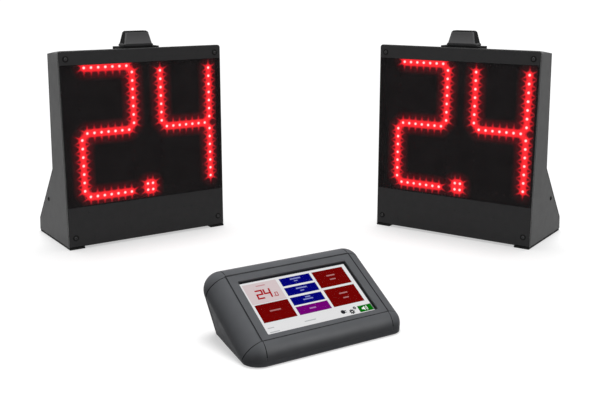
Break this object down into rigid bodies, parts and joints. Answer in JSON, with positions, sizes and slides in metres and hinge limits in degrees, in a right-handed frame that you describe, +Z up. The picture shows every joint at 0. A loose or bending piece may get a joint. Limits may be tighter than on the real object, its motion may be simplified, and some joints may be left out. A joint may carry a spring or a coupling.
{
  "type": "shot clock",
  "caption": "Free-standing shot clock set: boxed numeral displays with round red lamps and a sloping touch-screen console.",
  "frame": {"origin": "centre of the set's bounding box, on the floor that all three units stand on", "axes": "+Z up; the viewer and the console are towards -Y; +X runs from the left display to the right one, as the viewer sees them"},
  "size_m": [0.9831, 0.8066, 0.3734],
  "materials": {
    "case_grey": "fine texture, satin",
    "front_sheet": "smoked acrylic, dark grey bands",
    "cover_black": "fine texture",
    "lamp_board": "red lamps on a black board",
    "circuit_board": "solder mask",
    "zinc_plate": "zinc plated",
    "battery_wrap": "shrink wrap",
    "rubber_black": "matte",
    "black_screw": "black oxide",
    "steel_screw": "plain",
    "console_grey": "satin moulded",
    "touch_glass": "clear over a lit picture"
  },
  "bodies": {
    "set": {"console_base_screw_1": "steel_screw", "console_base_screw_2": "steel_screw", "console_base_screw_3": "steel_screw", "console_base_screw_4": "steel_screw", "console_battery": "battery_wrap", "console_bottom_shell": "console_grey", "console_button_switch": "cover_black", "console_charging_socket": "cover_black", "console_front_foot": "rubber_black", "console_main_board": "circuit_board", "console_panel_bracket": "zinc_plate", "console_picture_panel": "cover_black", "console_rear_foot": "rubber_black", "console_speaker": "cover_black", "console_top_shell": "console_grey", "console_touch_glass": "touch_glass", "left_aerial_cover": "cover_black", "left_aerial_pad": "cover_black", "left_battery_pack": "battery_wrap", "left_battery_tray": "zinc_plate", "left_case": "case_grey", "left_charging_socket": "cover_black", "left_control_board": "circuit_board", "left_front_screw_1": "black_screw", "left_front_screw_2": "black_screw", "left_front_screw_3": "black_screw", "left_front_screw_4": "black_screw", "left_front_sheet": "front_sheet", "left_lamp_board": "lamp_board", "left_left_foot_rail": "rubber_black", "left_rear_cover": "cover_black", "left_right_foot_rail": "rubber_black", "left_side_screw_1": "black_screw", "left_side_screw_2": "black_screw", "left_sounder": "cover_black", "left_switch_body": "cover_black", "right_aerial_cover": "cover_black", "right_aerial_pad": "cover_black", "right_battery_pack": "battery_wrap", "right_battery_tray": "zinc_plate", "right_case": "case_grey", "right_charging_socket": "cover_black", "right_control_board": "circuit_board", "right_front_screw_1": "black_screw", "right_front_screw_2": "black_screw", "right_front_screw_3": "black_screw", "right_front_screw_4": "black_screw", "right_front_sheet": "front_sheet", "right_lamp_board": "lamp_board", "right_left_foot_rail": "rubber_black", "right_rear_cover": "cover_black", "right_right_foot_rail": "rubber_black", "right_side_screw_1": "black_screw", "right_side_screw_2": "black_screw", "right_sounder": "cover_black", "right_switch_body": "cover_black"},
    "left_rocker": {"left_power_rocker": "rubber_black"},
    "right_rocker": {"right_power_rocker": "rubber_black"},
    "console_button": {"console_power_button": "rubber_black"}
  },
  "joints": [
    {"name": "left_rocker_tilt", "type": "hinge", "parent": "set", "child": "left_rocker", "pos_m": [-0.39022, 0.17715, 0.16943], "axis": [-0.831, -0.5563, 0], "range_deg": [-16, 0]},
    {"name": "right_rocker_tilt", "type": "hinge", "parent": "set", "child": "right_rocker", "pos_m": [0.23139, 0.29122, 0.16943], "axis": [-0.8251, 0.565, 0], "range_deg": [-16, 0]},
    {"name": "console_button_press", "type": "slide", "parent": "set", "child": "console_button", "axis": [0.5358, -0.8443, 0], "range_m": [0, 0.0015], "stiffness_N_per_m": 400, "springref_m": -0.0005}
  ]
}
